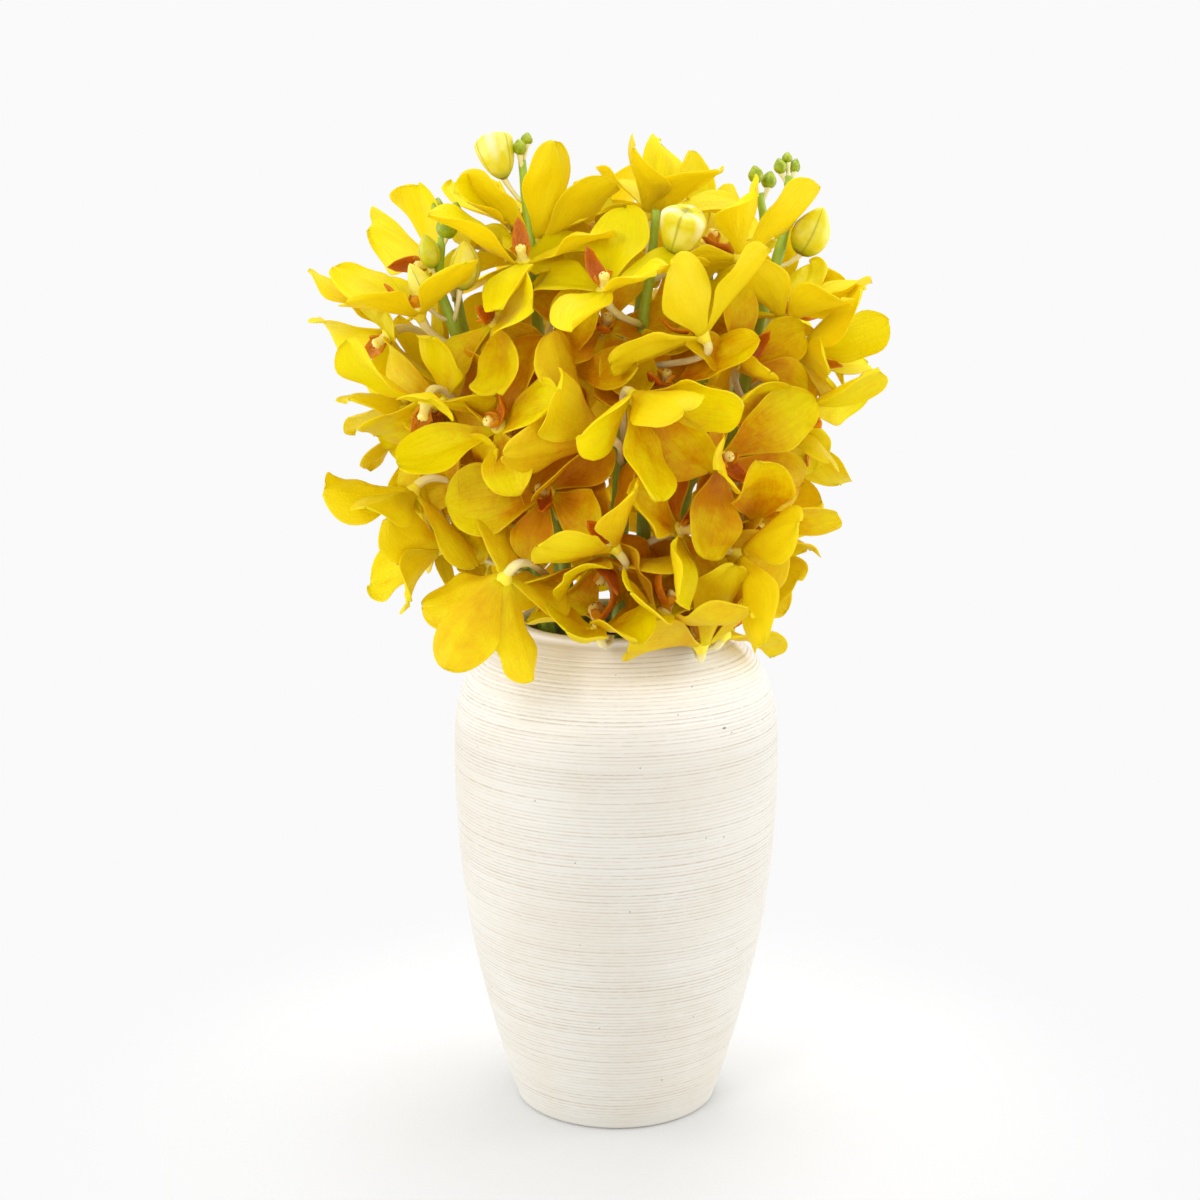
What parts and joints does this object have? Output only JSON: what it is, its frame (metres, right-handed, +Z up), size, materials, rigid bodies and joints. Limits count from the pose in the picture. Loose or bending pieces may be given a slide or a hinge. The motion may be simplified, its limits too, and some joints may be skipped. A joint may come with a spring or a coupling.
{
  "type": "cut mokara orchid sprays in a vase",
  "caption": "Round bouquet of cut yellow mokara orchid sprays with buds, standing in water in a tall cream ceramic vase with fine turned grooves and a narrow mouth.",
  "frame": {"origin": "middle of the vase's flat foot, on the surface it stands on", "axes": "+Z up along the vase's axis, -Y towards the front that the picture shows, +X to the right seen from the front"},
  "size_m": [0.2224, 0.2173, 0.3894],
  "materials": {
    "vase_ceramic": "matte",
    "water": "gloss",
    "orchid": "satin"
  },
  "bodies": {
    "root": {"vase": "vase_ceramic", "water": "water", "spray_front": "orchid", "spray_centre": "orchid", "spray_front_left": "orchid", "spray_left": "orchid", "spray_right": "orchid", "spray_far_right": "orchid", "spray_far_left": "orchid", "spray_top": "orchid", "spray_back_right": "orchid", "spray_back": "orchid", "spray_back_left": "orchid"}
  },
  "joints": []
}
